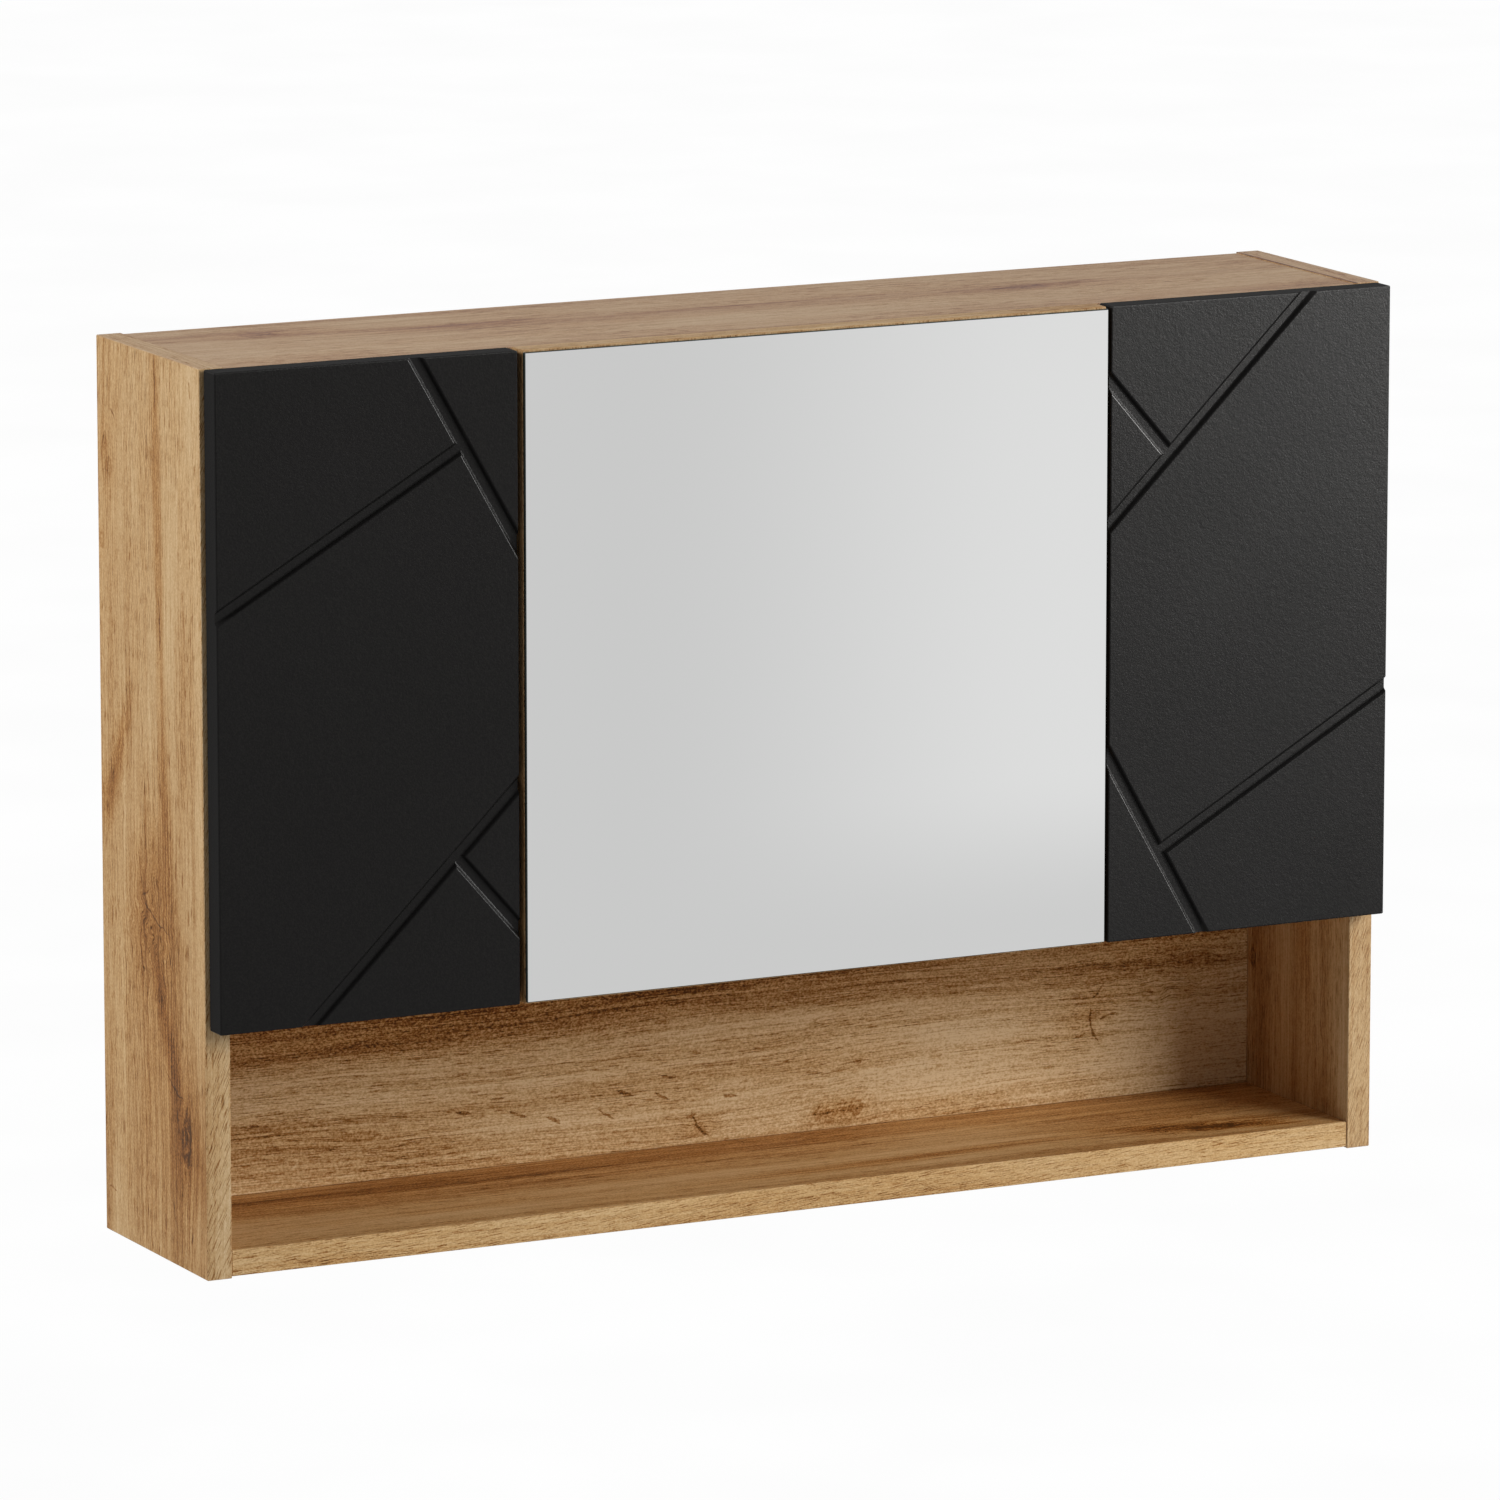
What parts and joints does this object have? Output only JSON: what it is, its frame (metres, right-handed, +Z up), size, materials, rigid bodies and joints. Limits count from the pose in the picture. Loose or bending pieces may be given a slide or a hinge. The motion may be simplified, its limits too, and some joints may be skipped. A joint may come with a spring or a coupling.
{
  "type": "bathroom wall cabinet with mirror door",
  "caption": "Wall-hung bathroom cabinet: an open niche under two black grooved doors and a square mirror door, on concealed hinges.",
  "frame": {"origin": "centre of the bottom panel's rear edge, on the wall plane", "axes": "+X along the width, to the right seen from the front; +Y into the wall, so the front faces -Y; +Z up"},
  "size_m": [0.8, 0.1735, 0.551],
  "materials": {
    "oak_laminate": "oak-look laminated board, fine straight grain, low sheen",
    "black_foil": "matt black foil over fibreboard, milled grooves",
    "mirror_glass": "silvered glass with polished edges",
    "rear_sheet": "thin hardboard sheet, brown lacquered",
    "nickel_steel": "nickel-plated pressed steel",
    "zinc_steel": "zinc-plated steel",
    "white_plastic": "moulded white plastic",
    "clear_silicone": "clear silicone"
  },
  "bodies": {
    "carcass": {"back_panel": "rear_sheet", "bottom_panel": "oak_laminate", "divider_left": "oak_laminate", "divider_right": "oak_laminate", "fixed_shelf": "oak_laminate", "hanger_hook_left": "zinc_steel", "hanger_hook_right": "zinc_steel", "hanger_housing_left": "white_plastic", "hanger_housing_right": "white_plastic", "hinge_arm_left_lower": "nickel_steel", "hinge_arm_left_upper": "nickel_steel", "hinge_arm_mirror_lower": "nickel_steel", "hinge_arm_mirror_upper": "nickel_steel", "hinge_arm_right_lower": "nickel_steel", "hinge_arm_right_upper": "nickel_steel", "hinge_plate_left_lower": "nickel_steel", "hinge_plate_left_upper": "nickel_steel", "hinge_plate_mirror_lower": "nickel_steel", "hinge_plate_mirror_upper": "nickel_steel", "hinge_plate_right_lower": "nickel_steel", "hinge_plate_right_upper": "nickel_steel", "niche_back_panel": "oak_laminate", "shelf_left": "oak_laminate", "shelf_middle": "oak_laminate", "shelf_peg_left_left_front": "nickel_steel", "shelf_peg_left_left_rear": "nickel_steel", "shelf_peg_left_right_front": "nickel_steel", "shelf_peg_left_right_rear": "nickel_steel", "shelf_peg_middle_left_front": "nickel_steel", "shelf_peg_middle_left_rear": "nickel_steel", "shelf_peg_middle_right_front": "nickel_steel", "shelf_peg_middle_right_rear": "nickel_steel", "shelf_peg_right_left_front": "nickel_steel", "shelf_peg_right_left_rear": "nickel_steel", "shelf_peg_right_right_front": "nickel_steel", "shelf_peg_right_right_rear": "nickel_steel", "shelf_right": "oak_laminate", "side_panel_left": "oak_laminate", "side_panel_right": "oak_laminate", "top_panel": "oak_laminate"},
    "door_left": {"door_buffer_left": "clear_silicone", "door_left_panel": "black_foil", "hinge_cup_left_lower": "nickel_steel", "hinge_cup_left_upper": "nickel_steel", "hinge_pin_left_lower": "zinc_steel", "hinge_pin_left_upper": "zinc_steel"},
    "door_mirror": {"door_buffer_mirror": "clear_silicone", "door_mirror_board": "oak_laminate", "hinge_cup_mirror_lower": "nickel_steel", "hinge_cup_mirror_upper": "nickel_steel", "hinge_pin_mirror_lower": "zinc_steel", "hinge_pin_mirror_upper": "zinc_steel", "mirror_glass": "mirror_glass"},
    "door_right": {"door_buffer_right": "clear_silicone", "door_right_panel": "black_foil", "hinge_cup_right_lower": "nickel_steel", "hinge_cup_right_upper": "nickel_steel", "hinge_pin_right_lower": "zinc_steel", "hinge_pin_right_upper": "zinc_steel"}
  },
  "joints": [
    {"name": "door_left_hinge", "type": "hinge", "parent": "carcass", "child": "door_left", "pos_m": [-0.3917, -0.1665, 0.343], "axis": [0, 0, -1], "range_deg": [0, 95]},
    {"name": "door_mirror_hinge", "type": "hinge", "parent": "carcass", "child": "door_mirror", "pos_m": [-0.19135, -0.1665, 0.343], "axis": [0, 0, -1], "range_deg": [0, 95]},
    {"name": "door_right_hinge", "type": "hinge", "parent": "carcass", "child": "door_right", "pos_m": [0.3917, -0.1665, 0.343], "axis": [0, 0, 1], "range_deg": [0, 95]}
  ]
}
